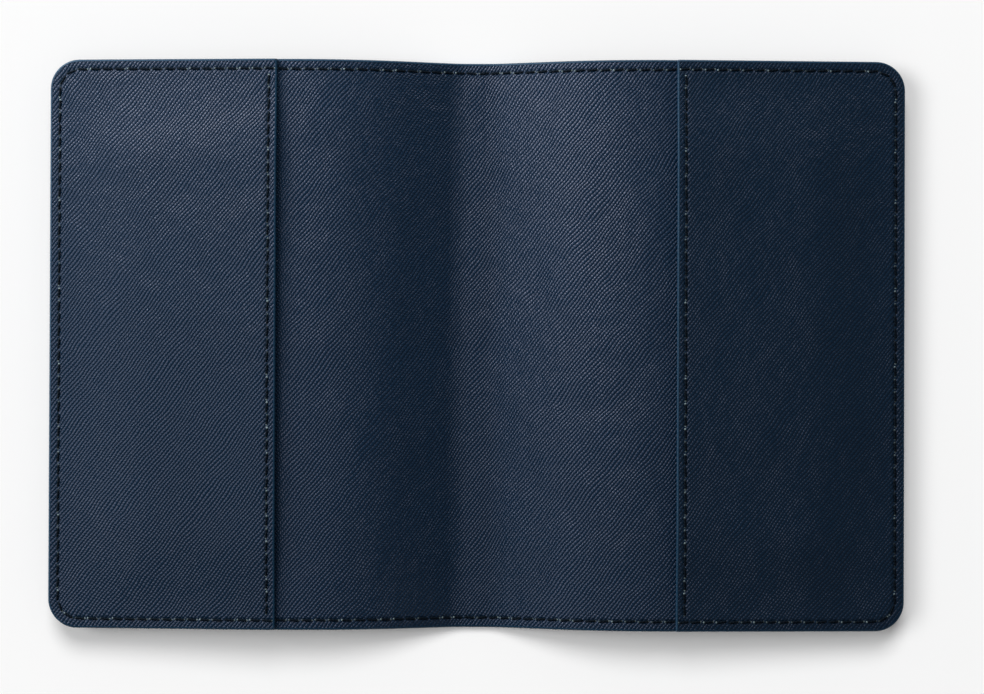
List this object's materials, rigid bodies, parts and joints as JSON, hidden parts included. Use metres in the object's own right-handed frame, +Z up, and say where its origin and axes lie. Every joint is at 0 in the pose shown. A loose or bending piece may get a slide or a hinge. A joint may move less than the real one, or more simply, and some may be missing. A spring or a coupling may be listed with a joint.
{
  "type": "passport holder",
  "caption": "Open leather passport holder: soft cover with a folding spine and a sewn pocket flap at each end, shown inside up.",
  "frame": {"origin": "middle of the spine's flat underside, on the surface that the open holder stands on", "axes": "+X across the open holder, +Y along the spine, +Z up from the surface, towards the holder's inside"},
  "size_m": [0.2114, 0.1404, 0.0134],
  "materials": {
    "outer_leather": "cross-grain embossed, satin",
    "lining_leather": "cross-grain embossed, satin",
    "flap_leather": "cross-grain embossed, satin",
    "interlining": "non-woven, matte",
    "flap_backing": "thin woven, matte",
    "edge_paint": "painted edge, satin",
    "thread": "waxed sewing thread"
  },
  "bodies": {
    "spine": {"spine_outer_cover": "outer_leather", "spine_interlining": "interlining", "spine_lining": "lining_leather", "spine_edge_paint": "edge_paint", "spine_stitches": "thread"},
    "left_panel": {"left_panel_outer_cover": "outer_leather", "left_panel_interlining": "interlining", "left_panel_lining": "lining_leather", "left_panel_edge_paint": "edge_paint", "left_panel_stitches": "thread"},
    "left_pocket": {"left_pocket_outer_cover": "outer_leather", "left_pocket_interlining": "interlining", "left_pocket_lining": "lining_leather", "left_pocket_edge_paint": "edge_paint", "left_pocket_stitches": "thread", "left_flap_backing": "flap_backing", "left_flap_leather": "flap_leather", "left_flap_edge_paint": "edge_paint", "left_flap_stitches": "thread"},
    "right_panel": {"right_panel_outer_cover": "outer_leather", "right_panel_interlining": "interlining", "right_panel_lining": "lining_leather", "right_panel_edge_paint": "edge_paint", "right_panel_stitches": "thread"},
    "right_pocket": {"right_pocket_outer_cover": "outer_leather", "right_pocket_interlining": "interlining", "right_pocket_lining": "lining_leather", "right_pocket_edge_paint": "edge_paint", "right_pocket_stitches": "thread", "right_flap_backing": "flap_backing", "right_flap_leather": "flap_leather", "right_flap_edge_paint": "edge_paint", "right_flap_stitches": "thread"}
  },
  "joints": [
    {"name": "left_fold", "type": "hinge", "parent": "spine", "child": "left_panel", "pos_m": [-0.0042, 0, 0.00216], "axis": [0, 1, 0], "range_deg": [-2.5, 76.8]},
    {"name": "left_flex", "type": "hinge", "parent": "left_panel", "child": "left_pocket", "pos_m": [-0.04375, 0, 0.01144], "axis": [0, 1, 0], "range_deg": [-0.57, 17.21]},
    {"name": "right_fold", "type": "hinge", "parent": "spine", "child": "right_panel", "pos_m": [0.0042, 0, 0.00216], "axis": [0, -1, 0], "range_deg": [-2.5, 76.8]},
    {"name": "right_flex", "type": "hinge", "parent": "right_panel", "child": "right_pocket", "pos_m": [0.04375, 0, 0.01144], "axis": [0, -1, 0], "range_deg": [-0.57, 17.21]}
  ],
  "couplings": [
    {"joint": "left_flex", "follows": "left_fold", "ratio": 0.224},
    {"joint": "right_flex", "follows": "right_fold", "ratio": 0.224}
  ]
}
